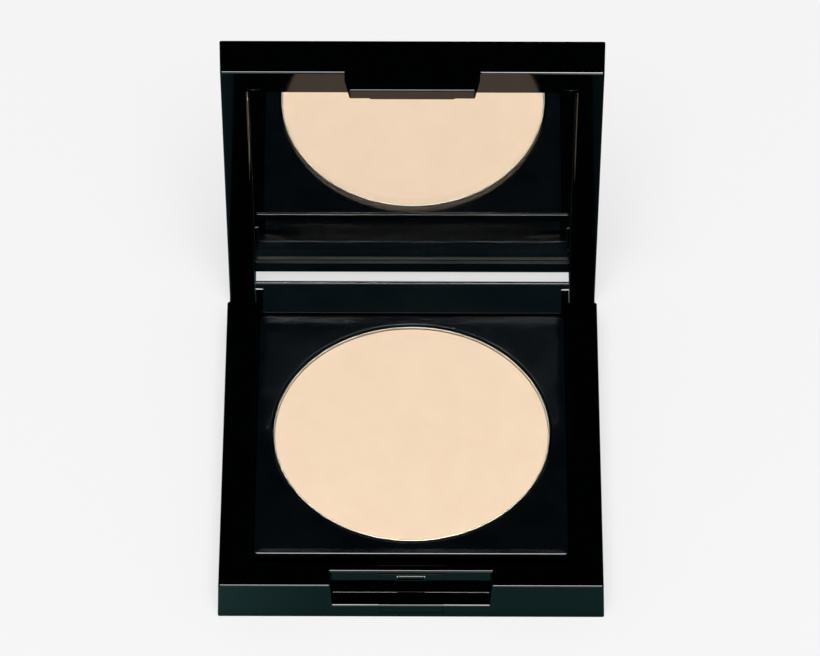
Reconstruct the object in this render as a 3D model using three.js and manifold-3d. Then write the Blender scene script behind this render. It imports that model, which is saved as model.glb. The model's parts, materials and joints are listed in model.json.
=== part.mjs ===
// Powder compact: a square two-shell case with a pressed-powder pan below and a mirror in its lid.
// Millimetres. +X is the user's right, +Y is towards the hinge, +Z is up.
// The origin is on the underside, at the middle of the base's square.

import * as THREE from 'three';
import { mergeVertices } from 'three/addons/utils/BufferGeometryUtils.js';
import Module from 'manifold-3d';

const wasm = await Module();
wasm.setup();

// ---------------------------------------------------------------- driving dimensions
// Every depth below is measured back from the base's front face, every height from its underside.
const WIDTH = 60;                // the base is a square of this side
const HALF_WIDTH = WIDTH / 2;
const DECK_HEIGHT = 7.4;         // underside to the glossy top face of the base
const LID_THICKNESS = 6.4;       // parting face to the outer face of the lid
const SEAM = 0.15;               // lid to base when shut
const FIT = 0.25;                // running gap between pieces that pass each other
const REST_GAP = 0.1;            // gap between pieces that lie on one another

const DRAFT = 0.25;              // both shells grow this much towards their outer faces
const DRAFT_REACH = DRAFT / DECK_HEIGHT;

const HINGE_DEPTH = 57.95;       // hinge axis, back from the front face
const HINGE_HEIGHT = 1.5;        // hinge axis, above the underside
const OPEN_ANGLE = 86.5;         // degrees from shut to the open stop

const CORNER_RADIUS = 0.3;
const PAN_RADIUS = 22.05;
const PAN_DEPTH = 31.4;          // middle of the pan

// ---------------------------------------------------------------- shape helpers
const CURVE_STEPS = 6;           // straight pieces in a small rounded corner
const ROUND_STEPS = 96;          // sides of the large round pieces
const PIN_STEPS = 20;            // sides of pins and their bores

function toSolid(geometry) {
  const bare = geometry.index ? geometry.toNonIndexed() : geometry;
  bare.deleteAttribute('normal');
  bare.deleteAttribute('uv');
  const merged = mergeVertices(bare, 1e-4);
  return new wasm.Manifold(new wasm.Mesh({
    numProp: 3,
    vertProperties: new Float32Array(merged.attributes.position.array),
    triVerts: new Uint32Array(merged.index.array),
  }));
}

function toGeometry(solid) {
  const mesh = solid.getMesh();
  const geometry = new THREE.BufferGeometry();
  geometry.setAttribute('position', new THREE.BufferAttribute(mesh.vertProperties, 3));
  geometry.setIndex(new THREE.BufferAttribute(mesh.triVerts, 1));
  return geometry;
}

function block(x0, x1, y0, y1, z0, z1) {
  const geometry = new THREE.BoxGeometry(x1 - x0, y1 - y0, z1 - z0);
  geometry.translate((x0 + x1) / 2, (y0 + y1) / 2, (z0 + z1) / 2);
  return toSolid(geometry);
}

// A rectangle in plan with its four corners rounded.
function roundedRectangle(x0, x1, y0, y1, radius) {
  const outline = new THREE.Shape();
  outline.moveTo(x0 + radius, y0);
  outline.lineTo(x1 - radius, y0);
  outline.absarc(x1 - radius, y0 + radius, radius, -Math.PI / 2, 0);
  outline.lineTo(x1, y1 - radius);
  outline.absarc(x1 - radius, y1 - radius, radius, 0, Math.PI / 2);
  outline.lineTo(x0 + radius, y1);
  outline.absarc(x0 + radius, y1 - radius, radius, Math.PI / 2, Math.PI);
  outline.lineTo(x0, y0 + radius);
  outline.absarc(x0 + radius, y0 + radius, radius, Math.PI, Math.PI * 1.5);
  return outline;
}

function raise(outline, z0, z1) {
  const geometry = new THREE.ExtrudeGeometry(outline, {
    depth: z1 - z0, bevelEnabled: false, curveSegments: CURVE_STEPS,
  });
  geometry.translate(0, 0, z0);
  return geometry;
}

function slab(x0, x1, y0, y1, radius, z0, z1) {
  return toSolid(raise(roundedRectangle(x0, x1, y0, y1, radius), z0, z1));
}

// A shell's outer block: its sides and front lean out towards the level wideAt, its back is upright.
function shellBlock(half, front, back, z0, z1, wideAt) {
  const geometry = raise(roundedRectangle(-half, half, front, back, CORNER_RADIUS), z0, z1);
  const place = geometry.attributes.position;
  for (let index = 0; index < place.count; index += 1) {
    if (Math.abs(place.getZ(index) - wideAt) < REST_GAP) {
      place.setX(index, place.getX(index) + Math.sign(place.getX(index)) * DRAFT);
      const isFront = place.getY(index) < HALF_WIDTH;
      place.setY(index, place.getY(index) - (isFront ? DRAFT : 0));
    }
  }
  return toSolid(geometry);
}

// A side profile given as [depth, height] points, carried across from x0 to x1.
function across(profile, x0, x1) {
  const outline = new THREE.Shape(profile.map(([y, z]) => new THREE.Vector2(y, z)));
  const geometry = new THREE.ExtrudeGeometry(outline, { depth: x1 - x0, bevelEnabled: false });
  const turn = new THREE.Matrix4().makeBasis(
    new THREE.Vector3(0, 1, 0), new THREE.Vector3(0, 0, 1), new THREE.Vector3(1, 0, 0),
  );
  geometry.applyMatrix4(turn);
  geometry.translate(x0, 0, 0);
  return toSolid(geometry);
}

// A front profile given as [x, height] points, carried back from y0 to y1.
function backward(profile, y0, y1) {
  const outline = new THREE.Shape(profile.map(([x, z]) => new THREE.Vector2(x, z)));
  const geometry = new THREE.ExtrudeGeometry(outline, { depth: y1 - y0, bevelEnabled: false });
  const turn = new THREE.Matrix4().makeBasis(
    new THREE.Vector3(1, 0, 0), new THREE.Vector3(0, 0, 1), new THREE.Vector3(0, -1, 0),
  );
  geometry.applyMatrix4(turn);
  geometry.translate(0, y1, 0);
  return toSolid(geometry);
}

function rodAlongX(radius, x0, x1, y, z) {
  const geometry = new THREE.CylinderGeometry(radius, radius, x1 - x0, PIN_STEPS);
  geometry.rotateZ(Math.PI / 2);
  geometry.translate((x0 + x1) / 2, y, z);
  return toSolid(geometry);
}

function disc(radius, y, z0, z1, steps = ROUND_STEPS) {
  const geometry = new THREE.CylinderGeometry(radius, radius, z1 - z0, steps);
  geometry.rotateX(Math.PI / 2);
  geometry.translate(0, y, (z0 + z1) / 2);
  return toSolid(geometry);
}

function onBothSides(make) {
  return make(1).add(make(-1));
}

// A block whose x range is given on the right-hand side and is mirrored for the left.
function sideBlock(side, near, far, y0, y1, z0, z1) {
  return side > 0 ? block(near, far, y0, y1, z0, z1) : block(-far, -near, y0, y1, z0, z1);
}

function piece(name, geometry, material) {
  const mesh = new THREE.Mesh(geometry, material);
  mesh.name = name;
  return mesh;
}

// ---------------------------------------------------------------- materials
function finish(colour, roughness, metalness) {
  return new THREE.MeshStandardMaterial({ color: colour, roughness, metalness });
}

const glossBlack = finish(0x050808, 0.12, 0);
const satinBlack = finish(0x0a1012, 0.45, 0);
const panMetal = finish(0xb5b6a4, 0.35, 1);
const pinSteel = finish(0xc2c4c6, 0.25, 1);
const pressedPowder = finish(0xfae0c2, 0.95, 0);
const mirrorSilver = finish(0xe8ecec, 0.03, 1);
const mirrorGlass = finish(0xe6f2ef, 0.02, 0);
const glueWhite = finish(0xd8d6cc, 0.7, 0);
const labelPaper = finish(0x16181a, 0.5, 0);

// ---------------------------------------------------------------- base shell
// One moulding: a deck around a square well, a thumb notch in front, a raised rib at the back,
// and a knuckle between the two rear corners that carries the hinge pins.
const CORNER_END = 58.3;         // rear corners stop here, in front of the lid's ears
const KNUCKLE_HALF = 25.5;
const KNUCKLE_END = 61;
const EAR_RADIUS = 1.45;

const WELL_HALF = 24.9;
const WELL_FRONT = 4.9;
const WELL_BACK = 55.95;
const WELL_FLOOR = 1.2;
const WELL_RADIUS = 1;
const WELL_LEDGE_WIDTH = 0.75;    // shallow lead-in along the well's front edge
const WELL_LEDGE_DROP = 0.2;

const NOTCH_TOP_HALF = 12.6;
const NOTCH_FLOOR_HALF = 12.25;
const NOTCH_TOP_DEPTH = 2.9;
const NOTCH_FLOOR_DEPTH = 2.6;
const NOTCH_FLOOR = 2.6;

const RIB_HALF = 24.15;
const RIB_CAP_HALF = 25.4;
const RIB_FOOT_FRONT = 56;
const RIB_TOP_FRONT = 58.2;
const RIB_TOP_BACK = 58.8;
const RIB_FOOT_BACK = 59.5;
const RIB_TOP = 12;
const CAP_FRONT_HEIGHT = 0.65;   // the cap is a wedge, taller behind
const CAP_REAR_HEIGHT = 1.8;
const RIB_POCKET_DEPTH = 0.6;    // shallow core pocket that keeps the rib an even thickness
const RIB_POCKET_INSET = 1.8;
const RIB_POCKET_TAPER = 1.6;
const RIB_POCKET_SILL = 0.5;

const PIN_RADIUS = 0.55;
const BORE_RADIUS = 0.75;
const PIN_IN_KNUCKLE = 3;
const PIN_SUNK = 0.4;            // the pin's end lies this far inside the ear's outer face

const LABEL_HALF = 15;
const LABEL_FRONT = 38;
const LABEL_BACK = 50;
const LABEL_RECESS = 0.3;
const LABEL_RADIUS = 1;

// The latch tongue stands in this pocket, cut through the notch's floor and rear wall.
const TONGUE_HALF = 4.75;
const TONGUE_TOP = 6.7;
const TONGUE_BACK = 3.65;
const TONGUE_FOOT_UNDER = 1.4;
const TONGUE_TOE_UNDER = 1.12;   // the toe closes the pocket's mouth but for a hairline
const TONGUE_TOE_DEPTH = 0.9;
const TONGUE_TOE_SLOPE = 0.3;
const POCKET_UNDER = 1;

const RIB_BURIED = 1;            // how far the rib is sunk into the deck for the join
const RIB_SLOPE = (RIB_TOP_FRONT - RIB_FOOT_FRONT) / (RIB_TOP - DECK_HEIGHT);
const ribProfile = [
  [RIB_FOOT_FRONT - RIB_SLOPE * RIB_BURIED, DECK_HEIGHT - RIB_BURIED],
  [RIB_FOOT_BACK, DECK_HEIGHT - RIB_BURIED],
  [RIB_FOOT_BACK, DECK_HEIGHT],
  [RIB_TOP_BACK, RIB_TOP],
  [RIB_TOP_FRONT, RIB_TOP],
];

function rib() {
  const body = across(ribProfile, -RIB_HALF, RIB_HALF);
  const above = RIB_TOP + 1;
  const capZone = across([
    [RIB_TOP_FRONT - 1, RIB_TOP - CAP_FRONT_HEIGHT],
    [RIB_TOP_BACK + 1, RIB_TOP - CAP_REAR_HEIGHT],
    [RIB_TOP_BACK + 1, above],
    [RIB_TOP_FRONT - 1, above],
  ], -WIDTH, WIDTH);
  const cap = across(ribProfile, -RIB_CAP_HALF, RIB_CAP_HALF).intersect(capZone);
  const pocketTop = RIB_TOP - CAP_REAR_HEIGHT - RIB_POCKET_SILL;
  const pocketFloor = DECK_HEIGHT + RIB_POCKET_SILL;
  const pocketHalf = RIB_HALF - RIB_POCKET_INSET;
  const pocket = backward([
    [-pocketHalf + RIB_POCKET_TAPER, pocketFloor],
    [pocketHalf - RIB_POCKET_TAPER, pocketFloor],
    [pocketHalf, pocketTop],
    [-pocketHalf, pocketTop],
  ], RIB_FOOT_BACK - RIB_POCKET_DEPTH, RIB_FOOT_BACK + 1);
  return body.add(cap).subtract(pocket);
}

function notch() {
  const over = 1;                // the cutter stands this far proud of the faces it opens
  const sides = [
    [-NOTCH_FLOOR_HALF, NOTCH_FLOOR],
    [NOTCH_FLOOR_HALF, NOTCH_FLOOR],
    [NOTCH_TOP_HALF, DECK_HEIGHT + over],
    [-NOTCH_TOP_HALF, DECK_HEIGHT + over],
  ];
  const section = [
    [-over, NOTCH_FLOOR],
    [NOTCH_FLOOR_DEPTH, NOTCH_FLOOR],
    [NOTCH_TOP_DEPTH, DECK_HEIGHT],
    [NOTCH_TOP_DEPTH, DECK_HEIGHT + over],
    [-over, DECK_HEIGHT + over],
  ];
  return backward(sides, -over, NOTCH_TOP_DEPTH + over).intersect(across(section, -WIDTH, WIDTH));
}

function tonguePocket() {
  const half = TONGUE_HALF + FIT;
  return block(-half, half, -1, TONGUE_BACK + FIT * 2, POCKET_UNDER, TONGUE_TOP + FIT);
}

function wellLedge() {
  return slab(
    -WELL_HALF, WELL_HALF, WELL_FRONT - WELL_LEDGE_WIDTH, WELL_FRONT + 2, WELL_RADIUS,
    DECK_HEIGHT - WELL_LEDGE_DROP, DECK_HEIGHT + 1,
  );
}

function baseShell() {
  const body = shellBlock(HALF_WIDTH, 0, CORNER_END, 0, DECK_HEIGHT, 0);
  const knuckle = block(-KNUCKLE_HALF, KNUCKLE_HALF, CORNER_END - 3, KNUCKLE_END, 0, DECK_HEIGHT);
  const well = slab(
    -WELL_HALF, WELL_HALF, WELL_FRONT, WELL_BACK, WELL_RADIUS, WELL_FLOOR, DECK_HEIGHT + 1,
  );
  const earClearFront = HINGE_DEPTH - EAR_RADIUS - FIT;
  const earClearTop = HINGE_HEIGHT + EAR_RADIUS + FIT;
  const earClearance = onBothSides((side) => sideBlock(
    side, KNUCKLE_HALF, HALF_WIDTH + 1, earClearFront, KNUCKLE_END + 1, -1, earClearTop,
  ));
  const bores = onBothSides((side) => {
    const inner = KNUCKLE_HALF - PIN_IN_KNUCKLE - FIT;
    const outer = KNUCKLE_HALF + 1;
    return side > 0
      ? rodAlongX(BORE_RADIUS, inner, outer, HINGE_DEPTH, HINGE_HEIGHT)
      : rodAlongX(BORE_RADIUS, -outer, -inner, HINGE_DEPTH, HINGE_HEIGHT);
  });
  const labelRecess = slab(
    -LABEL_HALF - FIT, LABEL_HALF + FIT, LABEL_FRONT - FIT, LABEL_BACK + FIT, LABEL_RADIUS,
    -1, LABEL_RECESS,
  );
  return body.add(knuckle).add(rib())
    .subtract(well).subtract(wellLedge())
    .subtract(notch()).subtract(tonguePocket())
    .subtract(earClearance).subtract(bores).subtract(labelRecess);
}

// ---------------------------------------------------------------- latch tongue
// An L-shaped leaf in the middle of the notch. Its foot is the notch's floor and its blade the
// notch's rear wall, with the catch bump that holds the lid's lip.
const BUMP_HALF = 2.1;
const BUMP_REACH = 0.21;
const BUMP_UNDER = 5.2;
const BUMP_TOP = 6.5;
const BUMP_SLOPE = 0.25;
const BUMP_ROOT = 0.3;           // how far the bump is sunk into the leaf for the join

function latchTongue() {
  const frontAt = (z) => DRAFT_REACH * (z - DECK_HEIGHT);
  const wallAt = (z) => NOTCH_FLOOR_DEPTH
    + (NOTCH_TOP_DEPTH - NOTCH_FLOOR_DEPTH) * (z - NOTCH_FLOOR) / (DECK_HEIGHT - NOTCH_FLOOR);
  const leaf = across([
    [frontAt(TONGUE_TOE_UNDER), TONGUE_TOE_UNDER],
    [TONGUE_TOE_DEPTH, TONGUE_TOE_UNDER],
    [TONGUE_TOE_DEPTH + TONGUE_TOE_SLOPE, TONGUE_FOOT_UNDER],
    [TONGUE_BACK, TONGUE_FOOT_UNDER],
    [TONGUE_BACK, TONGUE_TOP],
    [wallAt(TONGUE_TOP), TONGUE_TOP],
    [NOTCH_FLOOR_DEPTH, NOTCH_FLOOR],
    [frontAt(NOTCH_FLOOR), NOTCH_FLOOR],
  ], -TONGUE_HALF, TONGUE_HALF);
  const bump = across([
    [wallAt(BUMP_TOP) + BUMP_ROOT, BUMP_TOP],
    [wallAt(BUMP_TOP) - BUMP_REACH, BUMP_TOP - BUMP_SLOPE],
    [wallAt(BUMP_UNDER) - BUMP_REACH, BUMP_UNDER + BUMP_SLOPE],
    [wallAt(BUMP_UNDER) + BUMP_ROOT, BUMP_UNDER],
  ], -BUMP_HALF, BUMP_HALF);
  return leaf.add(bump);
}

// ---------------------------------------------------------------- pan carrier and its contents
const PLATE_HALF = 24.65;
const PLATE_FRONT = 6.7;
const PLATE_BACK = 55.7;
const PLATE_TOP = 7;
const PLATE_RADIUS = 0.6;
const PLATE_BEVEL = 1.1;         // width of the sloping border at the sides
const PLATE_FRONT_BEVEL = 1;     // and along the front
const PLATE_BEVEL_DROP = 0.15;
const PLATE_UNDER = WELL_FLOOR + REST_GAP;
const PAN_WELL_RADIUS = 22.35;
const PAN_WELL_FLOOR = 2.7;
const GLUE_THICKNESS = 0.2;
const GLUE_RADIUS = 16;
const PAN_UNDER = PAN_WELL_FLOOR + GLUE_THICKNESS + REST_GAP * 2;
const PAN_WALL = 0.3;
const PAN_TOP = 6.9;
const PAN_FOOT_CURVE = 0.6;
const RIM_OVERHANG = 0.1;        // the turned rim stands this far outside the wall
const RIM_HEIGHT = 0.2;
const CAKE_RADIUS = PAN_RADIUS - PAN_WALL - REST_GAP;
const CAKE_UNDER = PAN_UNDER + PAN_WALL + REST_GAP;
const CAKE_TOP = 6.6;

function panCarrier() {
  // The top border slopes down to the plate's edge on all four sides.
  const plate = slab(
    -PLATE_HALF, PLATE_HALF, PLATE_FRONT, PLATE_BACK, PLATE_RADIUS, PLATE_UNDER, PLATE_TOP,
  );
  const low = PLATE_TOP - PLATE_BEVEL_DROP;
  const past = 1;
  const sideSlope = [
    [-PLATE_HALF - past, PLATE_UNDER - past],
    [PLATE_HALF + past, PLATE_UNDER - past],
    [PLATE_HALF + past, low - PLATE_BEVEL_DROP * past / PLATE_BEVEL],
    [PLATE_HALF - PLATE_BEVEL, PLATE_TOP],
    [-PLATE_HALF + PLATE_BEVEL, PLATE_TOP],
    [-PLATE_HALF - past, low - PLATE_BEVEL_DROP * past / PLATE_BEVEL],
  ];
  const endSlope = [
    [PLATE_FRONT - past, PLATE_UNDER - past],
    [PLATE_BACK + past, PLATE_UNDER - past],
    [PLATE_BACK + past, PLATE_TOP],
    [PLATE_FRONT + PLATE_FRONT_BEVEL, PLATE_TOP],
    [PLATE_FRONT - past, low - PLATE_BEVEL_DROP * past / PLATE_FRONT_BEVEL],
  ];
  return plate
    .intersect(backward(sideSlope, 0, WIDTH))
    .intersect(across(endSlope, -WIDTH, WIDTH))
    .subtract(disc(PAN_WELL_RADIUS, PAN_DEPTH, PAN_WELL_FLOOR, PLATE_TOP + 1));
}

// Pressed aluminium tray: a flat floor, a straight wall and a small turned-out rim.
function powderPan() {
  const inner = PAN_RADIUS - PAN_WALL;
  const wallOutside = PAN_RADIUS - RIM_OVERHANG;
  const profile = [
    [0, PAN_UNDER],
    [wallOutside - PAN_FOOT_CURVE, PAN_UNDER],
    [wallOutside, PAN_UNDER + PAN_FOOT_CURVE],
    [wallOutside, PAN_TOP - RIM_HEIGHT - RIM_OVERHANG],
    [PAN_RADIUS, PAN_TOP - RIM_HEIGHT],
    [PAN_RADIUS, PAN_TOP],
    [inner, PAN_TOP],
    [inner, PAN_UNDER + PAN_WALL],
    [0, PAN_UNDER + PAN_WALL],
  ].map(([r, z]) => new THREE.Vector2(r, z));
  const geometry = new THREE.LatheGeometry(profile, ROUND_STEPS);
  geometry.rotateX(Math.PI / 2);
  geometry.translate(0, PAN_DEPTH, 0);
  return toSolid(geometry);
}

// ---------------------------------------------------------------- lid, drawn shut
// The lid is drawn where it lies when shut and is then turned back about the hinge axis.
const LID_HALF = 29.9;
const LID_FRONT = 0.25;
const LID_END = 59.35;
const PARTING = DECK_HEIGHT + SEAM;
const LID_TOP = PARTING + LID_THICKNESS;
const TOP_WALL = 1.3;
const TOP_WALL_END = 57.8;       // the top wall stops just short of the rear rib
const CEILING = LID_TOP - TOP_WALL;
const OPENING_HALF = 25.75;
const OPENING_FRONT = 5.15;
const EAR_INNER = KNUCKLE_HALF + FIT;
const EAR_LEG_FRONT = 58.5;

const MARK_RADIUS = 1.8;         // shallow round ejector marks on the parting face
const MARK_DEPTH = 0.05;
const MARK_STEPS = 40;
const MARK_PLACES = [[24.8, 2.6], [27.8, 52.3]];

const LIP_ROOT_HALF = 10.8;
const LIP_TIP_HALF = 9.75;
const LIP_REACH = 3.5;
const LIP_THICKNESS = 2.05;
const LIP_HOOK_HALF = 6.6;
const LIP_HOOK_CREST = 0.4;
const LIP_HOOK_HEIGHT = 1.2;
const LIP_HOOK_REACH = 0.2;      // how far the hook stands behind the lip's inner face

function lidCover() {
  const shell = shellBlock(LID_HALF, LID_FRONT, LID_END, PARTING, LID_TOP, LID_TOP);
  const past = LID_END + 1;
  const under = PARTING - 1;
  const hollow = block(-OPENING_HALF, OPENING_HALF, OPENING_FRONT, past, under, CEILING);
  const rearCut = block(-OPENING_HALF, OPENING_HALF, TOP_WALL_END, past, under, LID_TOP + 1);
  const ears = onBothSides((side) => {
    const leg = sideBlock(side, EAR_INNER, LID_HALF, EAR_LEG_FRONT, LID_END, HINGE_HEIGHT, PARTING + 1);
    const near = side > 0 ? EAR_INNER : -LID_HALF;
    const far = side > 0 ? LID_HALF : -EAR_INNER;
    const eye = rodAlongX(EAR_RADIUS, near, far, HINGE_DEPTH, HINGE_HEIGHT);
    return leg.add(eye);
  });
  const bore = rodAlongX(BORE_RADIUS, -WIDTH, WIDTH, HINGE_DEPTH, HINGE_HEIGHT);
  const lip = backward([
    [-LIP_TIP_HALF, PARTING - LIP_REACH],
    [LIP_TIP_HALF, PARTING - LIP_REACH],
    [LIP_ROOT_HALF, PARTING + 1],
    [-LIP_ROOT_HALF, PARTING + 1],
  ], LID_FRONT, LID_FRONT + LIP_THICKNESS);
  const lipBack = LID_FRONT + LIP_THICKNESS;
  const lipEnd = PARTING - LIP_REACH;
  const hook = across([
    [lipBack - 1, lipEnd],
    [lipBack + LIP_HOOK_REACH, lipEnd],
    [lipBack + LIP_HOOK_REACH, lipEnd + LIP_HOOK_CREST],
    [lipBack - LIP_HOOK_REACH, lipEnd + LIP_HOOK_HEIGHT],
    [lipBack - 1, lipEnd + LIP_HOOK_HEIGHT],
  ], -LIP_HOOK_HALF, LIP_HOOK_HALF);
  const marks = onBothSides((side) => MARK_PLACES
    .map(([x, y]) => disc(MARK_RADIUS, y, under, PARTING + MARK_DEPTH, MARK_STEPS)
      .translate([side * x, 0, 0]))
    .reduce((all, mark) => all.add(mark)));
  return shell.subtract(hollow).subtract(rearCut)
    .add(ears).subtract(bore)
    .add(lip).add(hook).subtract(marks);
}

// ---------------------------------------------------------------- mirror and what holds it
const MIRROR_HALF = OPENING_HALF - REST_GAP;
const MIRROR_FRONT = OPENING_FRONT + REST_GAP;
const MIRROR_BACK = 50.85;
const MIRROR_RECESS = 1.45;      // parting face to the face of the glass
const GLASS_THICKNESS = 1.45;
const PANE_RADIUS = 0.4;
const BACKING_THICKNESS = 0.12;
const BACKING_INSET = 0.2;
const TAPE_THICKNESS = 0.5;
const TAPE_WIDTH = 6;
const TAPE_INSET = 3;

const GLASS_FACE = PARTING + MIRROR_RECESS;
const BACKING_FACE = GLASS_FACE + GLASS_THICKNESS + REST_GAP;
const TAPE_FACE = BACKING_FACE + BACKING_THICKNESS + REST_GAP;
const CARRIER_FACE = TAPE_FACE + TAPE_THICKNESS + REST_GAP;

function mirrorPane(inset, z0, thickness) {
  return slab(
    -MIRROR_HALF + inset, MIRROR_HALF - inset, MIRROR_FRONT + inset, MIRROR_BACK - inset,
    PANE_RADIUS, z0, z0 + thickness,
  );
}

// Two strips of foam tape, one down each side of the glass.
function foamTape(side) {
  const outer = MIRROR_HALF - TAPE_INSET;
  return sideBlock(
    side, outer - TAPE_WIDTH, outer, MIRROR_FRONT + TAPE_INSET, MIRROR_BACK - TAPE_INSET,
    TAPE_FACE, TAPE_FACE + TAPE_THICKNESS,
  );
}

// A ribbed plate that carries the mirror clear of the lid's ceiling.
function mirrorCarrier() {
  const wall = 1.2;
  const web = 0.6;
  const cells = 3;
  const clearWidth = 2 * MIRROR_HALF - 2 * wall - (cells - 1) * web;
  const cellWidth = clearWidth / cells;
  let body = mirrorPane(0, CARRIER_FACE, CEILING - REST_GAP - CARRIER_FACE);
  for (let column = 0; column < cells; column += 1) {
    const x0 = -MIRROR_HALF + wall + column * (cellWidth + web);
    const cell = block(
      x0, x0 + cellWidth, MIRROR_FRONT + wall, MIRROR_BACK - wall, CARRIER_FACE + web, CEILING,
    );
    body = body.subtract(cell);
  }
  return body;
}

// ---------------------------------------------------------------- hinge pins
function hingePin(side) {
  const inner = KNUCKLE_HALF - PIN_IN_KNUCKLE;
  const outer = LID_HALF - PIN_SUNK;
  return side > 0
    ? rodAlongX(PIN_RADIUS, inner, outer, HINGE_DEPTH, HINGE_HEIGHT)
    : rodAlongX(PIN_RADIUS, -outer, -inner, HINGE_DEPTH, HINGE_HEIGHT);
}

// ---------------------------------------------------------------- assembly
const base = new THREE.Group();
base.add(piece('base_shell', toGeometry(baseShell()), glossBlack));
base.add(piece('latch_tongue', toGeometry(latchTongue()), glossBlack));
base.add(piece('pan_carrier', toGeometry(panCarrier()), satinBlack));
const glueUnder = PAN_WELL_FLOOR + REST_GAP;
const glueDisc = disc(GLUE_RADIUS, PAN_DEPTH, glueUnder, glueUnder + GLUE_THICKNESS);
base.add(piece('pan_glue_disc', toGeometry(glueDisc), glueWhite));
base.add(piece('powder_pan', toGeometry(powderPan()), panMetal));
const cake = disc(CAKE_RADIUS, PAN_DEPTH, CAKE_UNDER, CAKE_TOP);
base.add(piece('powder_cake', toGeometry(cake), pressedPowder));
const label = slab(
  -LABEL_HALF, LABEL_HALF, LABEL_FRONT, LABEL_BACK, LABEL_RADIUS, REST_GAP, LABEL_RECESS - REST_GAP,
);
base.add(piece('underside_label', toGeometry(label), labelPaper));
base.add(piece('hinge_pin_right', toGeometry(hingePin(1)), pinSteel));
base.add(piece('hinge_pin_left', toGeometry(hingePin(-1)), pinSteel));

const lidParts = new THREE.Group();
lidParts.add(piece('lid_cover', toGeometry(lidCover()), glossBlack));
const glass = mirrorPane(0, GLASS_FACE, GLASS_THICKNESS);
lidParts.add(piece('mirror_glass', toGeometry(glass), mirrorGlass));
const backing = mirrorPane(BACKING_INSET, BACKING_FACE, BACKING_THICKNESS);
lidParts.add(piece('mirror_silvering', toGeometry(backing), mirrorSilver));
lidParts.add(piece('mirror_tape_right', toGeometry(foamTape(1)), glueWhite));
lidParts.add(piece('mirror_tape_left', toGeometry(foamTape(-1)), glueWhite));
lidParts.add(piece('mirror_carrier', toGeometry(mirrorCarrier()), satinBlack));
lidParts.position.set(0, -HINGE_DEPTH, -HINGE_HEIGHT);

const lid = new THREE.Group();
lid.add(lidParts);
lid.position.set(0, HINGE_DEPTH, HINGE_HEIGHT);
lid.rotation.x = THREE.MathUtils.degToRad(-OPEN_ANGLE);
base.add(lid);
base.position.y = -HALF_WIDTH;

const compact = new THREE.Group();
compact.add(base);
compact.updateMatrixWorld(true);

export default compact;
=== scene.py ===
"""Powder compact, open: a glossy two-shell case with a pan of pressed powder and a mirror in its lid."""

import json
import math

import bmesh
import bpy
from mathutils import Matrix, Vector


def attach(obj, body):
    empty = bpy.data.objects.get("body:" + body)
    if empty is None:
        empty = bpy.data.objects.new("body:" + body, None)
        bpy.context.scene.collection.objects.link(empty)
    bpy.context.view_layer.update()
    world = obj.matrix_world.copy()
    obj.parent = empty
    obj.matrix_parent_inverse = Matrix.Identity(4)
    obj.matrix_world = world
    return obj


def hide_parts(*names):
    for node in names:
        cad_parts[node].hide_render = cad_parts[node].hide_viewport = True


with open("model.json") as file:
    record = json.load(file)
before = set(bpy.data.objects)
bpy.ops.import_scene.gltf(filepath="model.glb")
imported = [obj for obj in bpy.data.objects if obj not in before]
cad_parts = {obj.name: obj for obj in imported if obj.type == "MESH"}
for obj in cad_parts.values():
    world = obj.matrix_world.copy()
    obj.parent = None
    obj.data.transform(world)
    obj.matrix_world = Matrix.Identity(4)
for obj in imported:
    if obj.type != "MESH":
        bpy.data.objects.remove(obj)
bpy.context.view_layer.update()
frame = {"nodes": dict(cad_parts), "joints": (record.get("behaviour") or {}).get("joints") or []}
scene = bpy.context.scene
MM = 0.001

# ---------------------------------------------------------------- base shell
# The lower half of the case, injection moulded in black plastic. Its outside is polished to a
# high gloss and every edge is broken by a small radius; the rib and the knuckle behind the well
# are left satin.
SAME_POINT = 0.002 * MM          # corners closer than this are one corner


def merged_copy(node):
    """A node's shape with shared corners, and flat areas joined into single faces."""
    shape = bmesh.new()
    shape.from_mesh(frame["nodes"][node].data)
    bmesh.ops.remove_doubles(shape, verts=shape.verts, dist=SAME_POINT)
    bmesh.ops.dissolve_limit(
        shape, angle_limit=math.radians(0.4), verts=shape.verts, edges=shape.edges,
    )
    return shape


def every_edge(middle, along):
    return True


def sharp_edges(shape, wanted, least_angle, outward=1):
    """The outward (or, at -1, inward) corners that turn by least_angle degrees and pass the test."""
    found = []
    for edge in shape.edges:
        if len(edge.link_faces) != 2:
            continue
        if outward * edge.calc_face_angle_signed(0) < math.radians(least_angle):
            continue
        start, end = (corner.co for corner in edge.verts)
        if wanted((start + end) / 2, (end - start).normalized()):
            found.append(edge)
    return found


def round_edges(shape, edges, radius, steps=8):
    bmesh.ops.bevel(
        shape, geom=edges, offset=radius, offset_type="OFFSET", segments=steps, profile=0.5,
        affect="EDGES", clamp_overlap=False, material=-1,
    )


def make_piece(shape, name, body, materials, nodes, smooth=False):
    """Turns a bmesh into a piece that rides on its body and stands for its nodes."""
    mesh = bpy.data.meshes.new(name)
    shape.normal_update()
    shape.to_mesh(mesh)
    shape.free()
    for material in materials:
        mesh.materials.append(material)
    mesh.polygons.foreach_set("use_smooth", [smooth] * len(mesh.polygons))
    if smooth:
        mesh.set_sharp_from_angle(angle=math.radians(38))
    made = bpy.data.objects.new(name, mesh)
    scene.collection.objects.link(made)
    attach(made, body)
    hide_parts(*nodes)
    return made


def new_material(name):
    material = bpy.data.materials.new(name)
    material.use_nodes = True
    nodes = material.node_tree.nodes
    return material, nodes, material.node_tree.links, nodes["Principled BSDF"]


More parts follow.
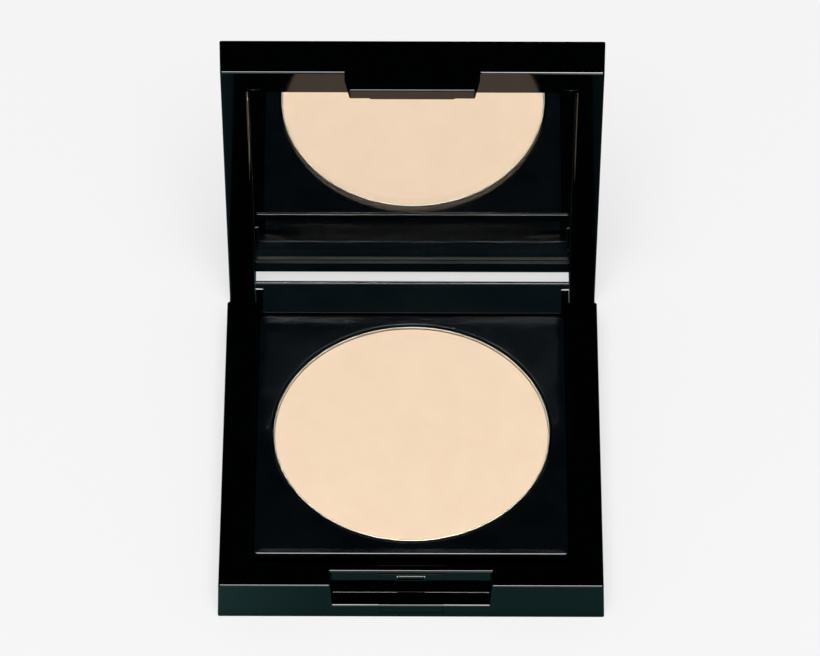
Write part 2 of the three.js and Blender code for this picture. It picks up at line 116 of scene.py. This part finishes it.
def noise(nodes, links, scale, detail, stretch=(1, 1, 1)):
    """Noise on object coordinates: scale is in cells per metre."""
    place = nodes.new("ShaderNodeTexCoord")
    turn = nodes.new("ShaderNodeMapping")
    turn.inputs["Scale"].default_value = stretch
    texture = nodes.new("ShaderNodeTexNoise")
    texture.inputs["Scale"].default_value = scale
    texture.inputs["Detail"].default_value = detail
    links.new(place.outputs["Object"], turn.inputs["Vector"])
    links.new(turn.outputs["Vector"], texture.inputs["Vector"])
    return texture


NOISE_LOW = 0.3                  # a noise seldom leaves this middle range
NOISE_HIGH = 0.7


def tint(nodes, links, texture, shader, dark, light):
    """The base colour wanders between two shades with a noise."""
    ramp = nodes.new("ShaderNodeValToRGB")
    ramp.color_ramp.elements[0].position = NOISE_LOW
    ramp.color_ramp.elements[0].color = (*dark, 1)
    ramp.color_ramp.elements[1].position = NOISE_HIGH
    ramp.color_ramp.elements[1].color = (*light, 1)
    links.new(texture.outputs["Fac"], ramp.inputs["Fac"])
    links.new(ramp.outputs["Color"], shader.inputs["Base Color"])


def roughen(nodes, links, texture, shader, least, most):
    """The roughness wanders between two values with a noise."""
    limits = nodes.new("ShaderNodeMapRange")
    limits.inputs["From Min"].default_value = NOISE_LOW
    limits.inputs["From Max"].default_value = NOISE_HIGH
    limits.inputs["To Min"].default_value = least
    limits.inputs["To Max"].default_value = most
    links.new(texture.outputs["Fac"], limits.inputs["Value"])
    links.new(limits.outputs["Result"], shader.inputs["Roughness"])


def relief(nodes, links, texture, shader, depth_mm, strength=1.0):
    """Bump of a real depth from a noise."""
    bump = nodes.new("ShaderNodeBump")
    bump.inputs["Strength"].default_value = strength
    bump.inputs["Distance"].default_value = depth_mm * MM
    links.new(texture.outputs["Fac"], bump.inputs["Height"])
    links.new(bump.outputs["Normal"], shader.inputs["Normal"])


def polished_black():
    material, nodes, links, shader = new_material("polished_black")
    sink = noise(nodes, links, scale=90, detail=2)
    haze = noise(nodes, links, scale=700, detail=6)
    tint(nodes, links, haze, shader, dark=(0.0002, 0.0003, 0.0003), light=(0.0004, 0.0006, 0.0006))
    roughen(nodes, links, haze, shader, least=0.03, most=0.06)
    relief(nodes, links, sink, shader, depth_mm=0.006)
    shader.inputs["IOR"].default_value = 1.5
    return material


def satin_black():
    material, nodes, links, shader = new_material("satin_black")
    grain = noise(nodes, links, scale=5200, detail=4)
    wear = noise(nodes, links, scale=160, detail=5)
    tint(nodes, links, wear, shader, dark=(0.001, 0.0018, 0.0025), light=(0.002, 0.0034, 0.0046))
    roughen(nodes, links, wear, shader, least=0.09, most=0.14)
    relief(nodes, links, grain, shader, depth_mm=0.0025)
    shader.inputs["IOR"].default_value = 1.5
    shader.inputs["Specular IOR Level"].default_value = 0.36
    return material


GLOSS = polished_black()
SATIN = satin_black()

OUTER_ROUND = 0.28 * MM          # radius on the edges that a hand touches
WELL_ROUND = 0.13 * MM           # radius round the well
RIB_ROUND = 0.2 * MM             # radius along the rib
CORNER_FILL = 0.12 * MM          # radius in the inner corner of a moulded step
SKIN = 0.05 * MM                 # how near an edge lies to a face to count as on it
NEAR = 0.1 * MM                  # the same, where the face leans a little
DECK = 7.4 * MM                  # top of the deck
RIM_SIDE = 25.4 * MM             # the deck's outer rim lies farther out than these
RIM_END = 28.2 * MM
WELL_SIDE = 25.2 * MM            # the well's edges lie nearer in than these
WELL_FRONT = -26.2 * MM
WELL_STEP = 0.3 * MM             # and this close to the deck's height
RIB_FRONT = 26.2 * MM            # the rib stands behind this
SATIN_FROM = 28.4 * MM           # and the moulding is satin behind this
NOTCH_HALF = 13 * MM             # the thumb notch: half its width, its back wall and its floor
NOTCH_BACK = -26.9 * MM
NOTCH_FLOOR = 2.6 * MM
POCKET_HALF = 5.1 * MM           # half the width of the tongue's pocket in the notch

base = merged_copy("base_shell")


def level(along):
    """The edge runs more level than steep."""
    return abs(along.z) < 0.5


def crosswise(along):
    """The edge runs from side to side."""
    return abs(along.x) > 0.9


def on_base_outside(middle, along):
    """The rim of the deck, and every outward edge of the thumb notch but its tongue pocket's."""
    if abs(middle.x) < NOTCH_HALF and middle.y < NOTCH_BACK:
        beside_pocket = abs(middle.x) > POCKET_HALF or middle.z > DECK - NEAR
        return middle.z > NOTCH_FLOOR - NEAR and beside_pocket
    beyond_well = abs(middle.x) > RIM_SIDE or abs(middle.y) > RIM_END
    return beyond_well and abs(middle.z - DECK) < SKIN and level(along)


def on_rib(middle, along):
    return middle.y > RIB_FRONT and crosswise(along) and middle.z > DECK + SKIN


def in_notch_corner(middle, along):
    return middle.y < NOTCH_BACK and abs(middle.z - NOTCH_FLOOR) < SKIN and crosswise(along)


def on_well(middle, along):
    return abs(middle.z - DECK) < WELL_STEP and abs(middle.x) < WELL_SIDE and middle.y > WELL_FRONT


round_edges(base, sharp_edges(base, on_base_outside, least_angle=40), OUTER_ROUND)
round_edges(base, sharp_edges(base, on_rib, least_angle=55), RIB_ROUND)
round_edges(base, sharp_edges(base, in_notch_corner, least_angle=55, outward=-1), CORNER_FILL)
round_edges(base, sharp_edges(base, on_well, least_angle=55), WELL_ROUND)
for face in base.faces:
    middle = face.calc_center_median()
    face.material_index = 1 if middle.z > DECK + SKIN or middle.y > SATIN_FROM else 0
make_piece(base, "base_shell_moulding", "base", [GLOSS, SATIN], ["base_shell"])

# ---------------------------------------------------------------- latch tongue
# A springy leaf moulded of the same black plastic, standing in the middle of the thumb notch. The
# low bump across it catches the lid's lip.
TONGUE_SPREAD = 4.94 / 4.75      # the leaf nearly fills its slot and leaves only a hairline seam
TOE_FRONT = -29.5 * MM           # the toe's edges lie before this, and above its foot
TOE_FOOT = 2 * MM
LEAF_BEND = 3 * MM               # the leaf turns upright below this
LEAF_TOP = 6 * MM                # the top edge lies above this
LEAF_BACK = -27.2 * MM           # and behind this
TOP_ROUND = 0.12 * MM
BUMP_SIZE = Vector((4.3, 0.8, 1.1)) * MM
BUMP_PLACE = Vector((0, -27.03, 5.85)) * MM
BUMP_ROUND = 0.26 * MM

tongue = merged_copy("latch_tongue")
bmesh.ops.scale(tongue, verts=tongue.verts, vec=(TONGUE_SPREAD, 1, 1))


def on_toe(middle, along):
    return middle.y < TOE_FRONT and crosswise(along) and middle.z > TOE_FOOT


def on_tongue_top(middle, along):
    return crosswise(along) and middle.z > LEAF_TOP and middle.y > LEAF_BACK


def in_tongue_corner(middle, along):
    return crosswise(along) and middle.z < LEAF_BEND


round_edges(tongue, sharp_edges(tongue, on_toe, least_angle=60), OUTER_ROUND)
round_edges(tongue, sharp_edges(tongue, on_tongue_top, least_angle=60), TOP_ROUND)
round_edges(tongue, sharp_edges(tongue, in_tongue_corner, least_angle=60, outward=-1), CORNER_FILL)
bump = bmesh.new()
bmesh.ops.create_cube(bump, size=1)
bmesh.ops.scale(bump, verts=bump.verts, vec=BUMP_SIZE)
round_edges(bump, list(bump.edges), BUMP_ROUND)
bmesh.ops.translate(bump, verts=bump.verts, vec=BUMP_PLACE)
bump_mesh = bpy.data.meshes.new("latch_bump")
bump.to_mesh(bump_mesh)
bump.free()
tongue.from_mesh(bump_mesh)
make_piece(tongue, "latch_tongue_leaf", "latch", [GLOSS], ["latch_tongue"])

# ---------------------------------------------------------------- pan carrier
# A square plate with a sloping border, moulded in black plastic with a fine satin grain. It drops
# into the well and carries the pan in a round seat.
CARRIER_ROUND = 0.24 * MM
CARRIER_BORDER = 5.5 * MM        # the border starts above this

carrier = merged_copy("pan_carrier")


def on_carrier_top(middle, along):
    return level(along) and middle.z > CARRIER_BORDER


round_edges(carrier, sharp_edges(carrier, on_carrier_top, least_angle=12), CARRIER_ROUND)
make_piece(carrier, "pan_carrier_plate", "base", [SATIN], ["pan_carrier"])

# ---------------------------------------------------------------- powder pan
# A shallow round tray drawn from thin aluminium sheet, with its rim turned out and rolled flat. It
# is glued into the carrier's seat.
PAN_MIDDLE = Vector((0, 1.4 * MM, 0))
TURN_STEPS = 160
PAN_FOOT = 3.1                   # heights and radii in mm
PAN_TOP = 6.9
PAN_OUTER = 22.0
WALL = 0.2
FOOT_ROUND = 0.7
RIM_SETBACK = 0.1                # the rim turns out from a wall this far inside the pan's radius
RIM_ROUND = 0.14
RIM_CREASE = 0.04
FLOOR_FILLET = 0.3


def turned(profile):
    """A closed round body from (radius, height) points in mm, turned about the pan's centre line."""
    shape = bmesh.new()
    points = [shape.verts.new((radius * MM, 0, height * MM)) for radius, height in profile]
    edges = [shape.edges.new(pair) for pair in zip(points, points[1:])]
    bmesh.ops.spin(
        shape, geom=points + edges, cent=(0, 0, 0), axis=(0, 0, 1), angle=math.tau,
        steps=TURN_STEPS, use_merge=True,
    )
    bmesh.ops.remove_doubles(shape, verts=shape.verts, dist=SAME_POINT)
    bmesh.ops.recalc_face_normals(shape, faces=shape.faces)
    bmesh.ops.translate(shape, verts=shape.verts, vec=PAN_MIDDLE)
    return shape


def arc(radius, height, size, start, end, steps):
    """Points on a round stretch of a profile; angles in degrees from straight out."""
    turns = [math.radians(start + (end - start) * step / steps) for step in range(steps + 1)]
    return [(radius + size * math.cos(turn), height + size * math.sin(turn)) for turn in turns]


def drawn_aluminium():
    material, nodes, links, shader = new_material("drawn_aluminium")
    lines = noise(nodes, links, scale=2600, detail=3, stretch=(1, 1, 6))
    tint(nodes, links, lines, shader, dark=(0.48, 0.45, 0.37), light=(0.58, 0.55, 0.46))
    roughen(nodes, links, lines, shader, least=0.45, most=0.55)
    relief(nodes, links, lines, shader, depth_mm=0.004)
    shader.inputs["Metallic"].default_value = 1
    return material


pan_profile = [(0, PAN_FOOT)]
pan_profile += arc(
    PAN_OUTER - RIM_SETBACK - FOOT_ROUND, PAN_FOOT + FOOT_ROUND, FOOT_ROUND, start=-90, end=0, steps=6,
)
pan_profile += arc(
    PAN_OUTER - RIM_SETBACK, PAN_TOP - RIM_ROUND, RIM_ROUND, start=-45, end=90, steps=8,
)
pan_profile += arc(
    PAN_OUTER - WALL + RIM_CREASE, PAN_TOP - RIM_CREASE, RIM_CREASE, start=90, end=180, steps=3,
)
pan_profile += [
    (PAN_OUTER - WALL, PAN_FOOT + WALL + FLOOR_FILLET),
    (PAN_OUTER - WALL - FLOOR_FILLET, PAN_FOOT + WALL),
    (0, PAN_FOOT + WALL),
]
make_piece(
    turned(pan_profile), "powder_pan_tray", "base", [drawn_aluminium()],
    ["powder_pan"], smooth=True,
)

# ---------------------------------------------------------------- powder cake
# Talc, mica and pigment pressed into the pan under load. The face is dead matt and almost flat,
# a hair lower than the rim, with a fine tooth left by the pressing cloth.
CAKE_FOOT = 3.5                  # heights and radii in mm
CAKE_TOP = 6.6
CAKE_OUTER = 21.76
CAKE_EDGE = 0.12
CAKE_CROWN = 0.02                # how much the middle stands above the edge
CROWN_STEP = 3                   # from one ring of the crown to the next


def pressed_powder():
    material, nodes, links, shader = new_material("pressed_powder")
    cloud = noise(nodes, links, scale=220, detail=5)
    tooth = noise(nodes, links, scale=4200, detail=5)
    tint(nodes, links, cloud, shader, dark=(0.935, 0.715, 0.52), light=(0.965, 0.745, 0.545))
    roughen(nodes, links, tooth, shader, least=0.9, most=1.0)
    relief(nodes, links, tooth, shader, depth_mm=0.03, strength=0.6)
    shader.inputs["Specular IOR Level"].default_value = 0.15
    return material


def crown(radius):
    return CAKE_TOP - CAKE_CROWN * (radius / CAKE_OUTER) ** 4


cake_profile = [(0, CAKE_FOOT), (CAKE_OUTER, CAKE_FOOT)]
cake_profile += arc(
    CAKE_OUTER - CAKE_EDGE, CAKE_TOP - CAKE_CROWN - CAKE_EDGE, CAKE_EDGE, start=0, end=90, steps=4,
)
cake_profile += [(radius, crown(radius)) for radius in range(int(CAKE_OUTER), -1, -CROWN_STEP)]
make_piece(
    turned(cake_profile), "powder_cake_pressed", "base", [pressed_powder()],
    ["powder_cake"], smooth=True,
)

# ---------------------------------------------------------------- glue disc
# A pad of hot-melt glue between the pan and its seat.


def set_glue():
    material, nodes, links, shader = new_material("set_glue")
    cloud = noise(nodes, links, scale=400, detail=3)
    tint(nodes, links, cloud, shader, dark=(0.72, 0.70, 0.62), light=(0.82, 0.80, 0.72))
    roughen(nodes, links, cloud, shader, least=0.4, most=0.6)
    return material


def refinish(node, material):
    """A node whose shape is right keeps its mesh and gets a finished material."""
    mesh = frame["nodes"][node].data
    mesh.materials.clear()
    mesh.materials.append(material)


refinish("pan_glue_disc", set_glue())

# ---------------------------------------------------------------- underside label
# A blank black sticker in its shallow recess under the base.


def plain_sticker():
    material, nodes, links, shader = new_material("plain_sticker")
    fibre = noise(nodes, links, scale=3000, detail=4)
    tint(nodes, links, fibre, shader, dark=(0.016, 0.016, 0.018), light=(0.024, 0.024, 0.027))
    roughen(nodes, links, fibre, shader, least=0.42, most=0.55)
    relief(nodes, links, fibre, shader, depth_mm=0.004)
    return material


refinish("underside_label", plain_sticker())

# ---------------------------------------------------------------- hinge pins
# Two short pins cut from bright drawn steel wire, one through each ear of the lid into the
# base's knuckle, with a tiny bevel on each cut end.
CUT_BREAK = 0.1 * MM             # the small bevel on a cut end or a plate's edge


def drawn_steel():
    material, nodes, links, shader = new_material("drawn_steel")
    lines = noise(nodes, links, scale=3000, detail=3, stretch=(0.05, 1, 1))
    tint(nodes, links, lines, shader, dark=(0.52, 0.53, 0.55), light=(0.66, 0.67, 0.69))
    roughen(nodes, links, lines, shader, least=0.18, most=0.3)
    shader.inputs["Metallic"].default_value = 1
    return material


STEEL = drawn_steel()
for side in ("right", "left"):
    node = f"hinge_pin_{side}"
    pin = merged_copy(node)
    round_edges(pin, sharp_edges(pin, every_edge, least_angle=40), CUT_BREAK, steps=2)
    make_piece(pin, f"{node}_wire", "base", [STEEL], [node], smooth=True)

# ---------------------------------------------------------------- lid cover
# The upper half of the case, moulded in the same glossy black plastic: a flat top, side arms that
# run down to the hinge ears, and a short lip in front that drops into the thumb notch.
HINGE = Vector(frame["joints"][0]["pos_m"])
OPEN = math.radians(86.5)
SHUT = Matrix.Translation(HINGE) @ Matrix.Rotation(OPEN, 4, "X") @ Matrix.Translation(-HINGE)
OPENED = SHUT.inverted()
LID_SIDE = 29.6 * MM             # with the lid shut, its outline lies farther out than these
LID_FRONT = -29.4 * MM
EAR_TOP = 7 * MM                 # the ears hang below this
OPENING_EDGE = 7.55 * MM         # height of the edge round the mirror's opening
OPENING_SIDE = 26 * MM           # and the opening lies within these
OPENING_FRONT = -26 * MM
OPENING_ROUND = 0.22 * MM
LIP_TOP = 7.5 * MM               # the lip hangs below this, near the front
LIP_BACK = -20 * MM
LIP_ROUND = 0.2 * MM

cover = merged_copy("lid_cover")


def on_lid_outside(middle, along):
    shut = SHUT @ middle
    outline = (abs(shut.x) > LID_SIDE or shut.y < LID_FRONT) and shut.z > EAR_TOP
    return outline and level(SHUT.to_3x3() @ along)


def on_opening(middle, along):
    shut = SHUT @ middle
    at_edge = abs(shut.z - OPENING_EDGE) < NEAR
    return at_edge and abs(shut.x) < OPENING_SIDE and shut.y > OPENING_FRONT


def on_lip(middle, along):
    shut = SHUT @ middle
    return shut.z < LIP_TOP and shut.y < LIP_BACK


round_edges(cover, sharp_edges(cover, on_lid_outside, least_angle=40), OUTER_ROUND)
round_edges(cover, sharp_edges(cover, on_opening, least_angle=60), OPENING_ROUND)
round_edges(cover, sharp_edges(cover, on_lip, least_angle=60), LIP_ROUND)
make_piece(cover, "lid_cover_moulding", "lid", [GLOSS], ["lid_cover"])

# ---------------------------------------------------------------- mirror
# Float glass cut to a rectangle with its edges ground, silvered on the back and painted grey over
# the silver. The picture forms behind the thickness of the glass.
GLASS_BREAK = 0.12 * MM          # the ground bevel on the glass's edges
FILM_SETBACK = 0.08 * MM         # brings the film up to the back of the glass
SQUARE_ON = 0.99                 # a face this nearly square to the mirror lies in its plane


def clear_glass():
    material, nodes, links, shader = new_material("clear_float_glass")
    ream = noise(nodes, links, scale=60, detail=2)
    tint(nodes, links, ream, shader, dark=(0.995, 1.0, 0.998), light=(0.998, 1.0, 1.0))
    shader.inputs["Roughness"].default_value = 0
    shader.inputs["IOR"].default_value = 1.52
    shader.inputs["Transmission Weight"].default_value = 1
    return material


def ground_edge():
    material, nodes, links, shader = new_material("ground_glass_edge")
    grit = noise(nodes, links, scale=6000, detail=4)
    tint(nodes, links, grit, shader, dark=(0.008, 0.011, 0.011), light=(0.016, 0.02, 0.02))
    roughen(nodes, links, grit, shader, least=0.5, most=0.7)
    relief(nodes, links, grit, shader, depth_mm=0.01)
    return material


def silver_film():
    material, nodes, links, shader = new_material("silver_film")
    cloud = noise(nodes, links, scale=120, detail=3)
    tint(nodes, links, cloud, shader, dark=(0.99, 0.99, 0.99), light=(1.0, 1.0, 1.0))
    shader.inputs["Roughness"].default_value = 0
    shader.inputs["Metallic"].default_value = 1
    return material


def backing_paint():
    material, nodes, links, shader = new_material("mirror_backing_paint")
    cloud = noise(nodes, links, scale=500, detail=4)
    tint(nodes, links, cloud, shader, dark=(0.16, 0.17, 0.17), light=(0.2, 0.21, 0.21))
    roughen(nodes, links, cloud, shader, least=0.5, most=0.65)
    return material


pane_facing = OPENED.to_3x3() @ Vector((0, 0, -1))
glass = merged_copy("mirror_glass")
round_edges(glass, sharp_edges(glass, every_edge, least_angle=40), GLASS_BREAK, steps=2)
for face in glass.faces:
    face.material_index = 0 if abs(face.normal.dot(pane_facing)) > SQUARE_ON else 1
make_piece(
    glass, "mirror_glass_pane", "lid", [clear_glass(), ground_edge()],
    ["mirror_glass"],
)

silver = merged_copy("mirror_silvering")
bmesh.ops.translate(silver, verts=silver.verts, vec=pane_facing * FILM_SETBACK)
for face in silver.faces:
    face.material_index = 0 if face.normal.dot(pane_facing) > SQUARE_ON else 1
make_piece(
    silver, "mirror_silvering_film", "lid", [silver_film(), backing_paint()],
    ["mirror_silvering"],
)

# ---------------------------------------------------------------- mirror tape and carrier
# White foam tape holds the glass to a ribbed black plate, which stands on the lid's ceiling. The
# mirror hides both.


def foam():
    material, nodes, links, shader = new_material("foam_tape")
    cells = noise(nodes, links, scale=5000, detail=3)
    tint(nodes, links, cells, shader, dark=(0.5, 0.5, 0.48), light=(0.62, 0.62, 0.6))
    roughen(nodes, links, cells, shader, least=0.8, most=0.95)
    relief(nodes, links, cells, shader, depth_mm=0.03)
    return material


FOAM = foam()
refinish("mirror_tape_right", FOAM)
refinish("mirror_tape_left", FOAM)
mirror_plate = merged_copy("mirror_carrier")
round_edges(mirror_plate, sharp_edges(mirror_plate, every_edge, least_angle=40), CUT_BREAK, steps=2)
make_piece(mirror_plate, "mirror_carrier_plate", "lid", [SATIN], ["mirror_carrier"])

# ---------------------------------------------------------------- floor
# A plain pale sweep. What the polished case reflects of it is a painted reflection in a dimmer, cooler
# colour: teal, lighter to the left, with a painted shadow that darkens it beside the base from just behind
# its front.
FLOOR_SIZE = 6
FLOOR_GAP = 0.05 * MM
FLOOR_GLOW = 0.57
FLOOR_SHADE = 0.36


def seen_in_polish(nodes, links):
    """1 for a ray that has left a polished or satin face, straight or by way of the mirror."""
    path = nodes.new("ShaderNodeLightPath")
    twice = nodes.new("ShaderNodeMath")
    twice.operation = "GREATER_THAN"
    twice.inputs[1].default_value = 1.5
    either = nodes.new("ShaderNodeMath")
    either.operation = "MAXIMUM"
    links.new(path.outputs["Glossy Depth"], twice.inputs[0])
    links.new(path.outputs["Is Glossy Ray"], either.inputs[0])
    links.new(twice.outputs["Value"], either.inputs[1])
    return either.outputs["Value"]


def along_floor(nodes, links, axis, start, end, first, last):
    """A colour that changes along one axis of the floor, between two places in metres."""
    place = nodes.new("ShaderNodeTexCoord")
    split = nodes.new("ShaderNodeSeparateXYZ")
    limits = nodes.new("ShaderNodeMapRange")
    limits.inputs["From Min"].default_value = start
    limits.inputs["From Max"].default_value = end
    shade = nodes.new("ShaderNodeValToRGB")
    shade.color_ramp.elements[0].color = (*first, 1)
    shade.color_ramp.elements[1].color = (*last, 1)
    links.new(place.outputs["Object"], split.inputs["Vector"])
    links.new(split.outputs[axis], limits.inputs["Value"])
    links.new(limits.outputs["Result"], shade.inputs["Fac"])
    return shade.outputs["Color"]


def pale_floor():
    material, nodes, links, shader = new_material("pale_floor")
    shader.inputs["Base Color"].default_value = (FLOOR_SHADE, FLOOR_SHADE, FLOOR_SHADE, 1)
    shader.inputs["Roughness"].default_value = 1
    shader.inputs["Specular IOR Level"].default_value = 0
    shader.inputs["Emission Color"].default_value = (1, 1, 1, 1)
    shader.inputs["Emission Strength"].default_value = FLOOR_GLOW
    # painted reflection: polished faces see the floor teal, lighter to the left than to the right
    painted_reflection_across = along_floor(
        nodes, links, "X", start=-0.03, end=-0.015, first=(0.17, 0.42, 0.42), last=(0.09, 0.25, 0.25),
    )
    # painted shadow: the reflected floor darkens beside the base, from just behind its front
    painted_shadow_by_base = along_floor(
        nodes, links, "Y", start=-0.032, end=-0.026, first=(1, 1, 1), last=(0.35, 0.3, 0.38),
    )
    both = nodes.new("ShaderNodeVectorMath")
    both.operation = "MULTIPLY"
    links.new(painted_reflection_across, both.inputs[0])
    links.new(painted_shadow_by_base, both.inputs[1])
    # the painted reflection and painted shadow, seen only by rays that have left a polished face
    painted_reflection = nodes.new("ShaderNodeBsdfDiffuse")
    links.new(both.outputs["Vector"], painted_reflection.inputs["Color"])
    mixed = nodes.new("ShaderNodeMixShader")
    links.new(seen_in_polish(nodes, links), mixed.inputs["Fac"])
    links.new(shader.outputs["BSDF"], mixed.inputs[1])
    links.new(painted_reflection.outputs["BSDF"], mixed.inputs[2])
    links.new(mixed.outputs["Shader"], nodes["Material Output"].inputs["Surface"])
    return material


ground = bmesh.new()
bmesh.ops.create_grid(ground, x_segments=1, y_segments=1, size=FLOOR_SIZE / 2)
bmesh.ops.translate(ground, verts=ground.verts, vec=(0, 0, -FLOOR_GAP))
floor_mesh = bpy.data.meshes.new("floor")
ground.to_mesh(floor_mesh)
ground.free()
floor_mesh.materials.append(pale_floor())
floor = bpy.data.objects.new("floor", floor_mesh)
scene.collection.objects.link(floor)

# ---------------------------------------------------------------- studio light
# Soft light from all round and a broad key in front. Polished faces see a darkened room with one
# lamp overhead and a softer one low in front, which leaves the flat tops black and draws a thin
# bright line along each edge.
DOME = 0.28
BACKDROP = 0.92
ROOM = (0.03, 0.085, 0.105)
ROOM_BLACK = (0.5, 0.92)         # the room is black between these sines of the height
OVERHEAD = (90, 13, 4, 23)       # height above the horizon, half width and soft border in degrees,
LOW_FRONT = (24, 7, 3, 2.5)      # and brightness
KEY_WATTS = 37.5
KEY_SIZE = 1.2
KEY_PLACE = (0, -0.9, 1.9)


def background(nodes, strength):
    made = nodes.new("ShaderNodeBackground")
    made.inputs["Color"].default_value = (1, 1, 1, 1)
    made.inputs["Strength"].default_value = strength
    return made


def choose(nodes, links, factor, when_no, when_yes):
    mixed = nodes.new("ShaderNodeMixShader")
    links.new(factor, mixed.inputs["Fac"])
    links.new(when_no, mixed.inputs[1])
    links.new(when_yes, mixed.inputs[2])
    return mixed.outputs["Shader"]


def few_bounces(nodes, links):
    """1 for light that met one polished face only, not counting the mirror on its way."""
    path = nodes.new("ShaderNodeLightPath")
    through_glass = nodes.new("ShaderNodeMath")
    through_glass.operation = "MINIMUM"
    through_glass.inputs[1].default_value = 1
    bounces = nodes.new("ShaderNodeMath")
    bounces.operation = "SUBTRACT"
    few = nodes.new("ShaderNodeMath")
    few.operation = "LESS_THAN"
    few.inputs[1].default_value = 1.5
    links.new(path.outputs["Transmission Depth"], through_glass.inputs[0])
    links.new(path.outputs["Glossy Depth"], bounces.inputs[0])
    links.new(through_glass.outputs["Value"], bounces.inputs[1])
    links.new(bounces.outputs["Value"], few.inputs[0])
    return few.outputs["Value"]


def lamp(nodes, links, place, height, half, border, brightness):
    """A round lamp over or before the case; its angles are in degrees."""
    tilt = math.radians(height)
    toward = nodes.new("ShaderNodeVectorMath")
    toward.operation = "DOT_PRODUCT"
    toward.inputs[1].default_value = (0, -math.cos(tilt), math.sin(tilt))
    links.new(place.outputs["Generated"], toward.inputs[0])
    edge = nodes.new("ShaderNodeMapRange")
    edge.interpolation_type = "SMOOTHSTEP"
    edge.inputs["From Min"].default_value = math.cos(math.radians(half + border))
    edge.inputs["From Max"].default_value = math.cos(math.radians(half))
    edge.inputs["To Max"].default_value = brightness
    links.new(toward.outputs["Value"], edge.inputs["Value"])
    dimmed = nodes.new("ShaderNodeMath")
    dimmed.operation = "MULTIPLY"
    links.new(edge.outputs["Result"], dimmed.inputs[0])
    links.new(few_bounces(nodes, links), dimmed.inputs[1])
    made = background(nodes, 0)
    links.new(dimmed.outputs["Value"], made.inputs["Strength"])
    return made.outputs["Background"]


def room_walls(nodes, links, place):
    """A dim room, lighter at the horizon and overhead than between."""
    height = nodes.new("ShaderNodeSeparateXYZ")
    links.new(place.outputs["Generated"], height.inputs["Vector"])
    ramp = nodes.new("ShaderNodeValToRGB")
    stops = ramp.color_ramp.elements
    stops[0].color = (*ROOM, 1)
    stops[1].color = (*ROOM, 1)
    for sine in ROOM_BLACK:
        stops.new(sine).color = (0, 0, 0, 1)
    links.new(height.outputs["Z"], ramp.inputs["Fac"])
    walls = background(nodes, 1)
    links.new(ramp.outputs["Color"], walls.inputs["Color"])
    return walls.outputs["Background"]


def studio():
    world = bpy.data.worlds.new("studio")
    world.use_nodes = True
    nodes, links = world.node_tree.nodes, world.node_tree.links
    nodes.remove(nodes["Background"])
    place = nodes.new("ShaderNodeTexCoord")
    room = room_walls(nodes, links, place)
    for one in (OVERHEAD, LOW_FRONT):
        both = nodes.new("ShaderNodeAddShader")
        links.new(room, both.inputs[0])
        links.new(lamp(nodes, links, place, *one), both.inputs[1])
        room = both.outputs["Shader"]
    path = nodes.new("ShaderNodeLightPath")
    looked_at = nodes.new("ShaderNodeMath")
    looked_at.operation = "MAXIMUM"
    links.new(path.outputs["Is Camera Ray"], looked_at.inputs[0])
    links.new(path.outputs["Is Transmission Ray"], looked_at.inputs[1])
    dome = background(nodes, DOME).outputs["Background"]
    backdrop = background(nodes, BACKDROP).outputs["Background"]
    soft = choose(nodes, links, looked_at.outputs["Value"], dome, backdrop)
    seen = choose(nodes, links, seen_in_polish(nodes, links), soft, room)
    links.new(seen, nodes["World Output"].inputs["Surface"])
    scene.world = world


studio()
key = bpy.data.lights.new("key", "AREA")
key.shape = "SQUARE"
key.size = KEY_SIZE
key.energy = KEY_WATTS
key_object = bpy.data.objects.new("key", key)
scene.collection.objects.link(key_object)
key_object.location = KEY_PLACE
key_object.rotation_mode = "QUATERNION"
key_object.rotation_quaternion = (-key_object.location).to_track_quat("-Z", "Y")
key_object.visible_glossy = False
scene.view_settings.view_transform = "Standard"

# ---------------------------------------------------------------- camera
# A long lens from in front and well above, a hair to the right of the middle.
ELEVATION = math.radians(49.71)
AZIMUTH = math.radians(0.2)
DISTANCE = 0.8582
AIM = Vector((0, 12, 21)) * MM
TO_THE_LEFT = 0.29 * MM          # small shifts that centre the case in the frame
DOWNWARD = 0.642 * MM
back = Vector((
    math.sin(AZIMUTH) * math.cos(ELEVATION), -math.cos(AZIMUTH) * math.cos(ELEVATION), math.sin(ELEVATION),
))
across = Vector((math.cos(AZIMUTH), math.sin(AZIMUTH), 0))
upward = back.cross(across)
lens = bpy.data.cameras.new("camera")
lens.sensor_width = 36
lens.lens = 237.5
camera = bpy.data.objects.new("camera", lens)
scene.collection.objects.link(camera)
camera.location = AIM + back * DISTANCE - across * TO_THE_LEFT - upward * DOWNWARD
camera.rotation_mode = "QUATERNION"
camera.rotation_quaternion = (-back).to_track_quat("-Z", "Y")
scene.camera = camera
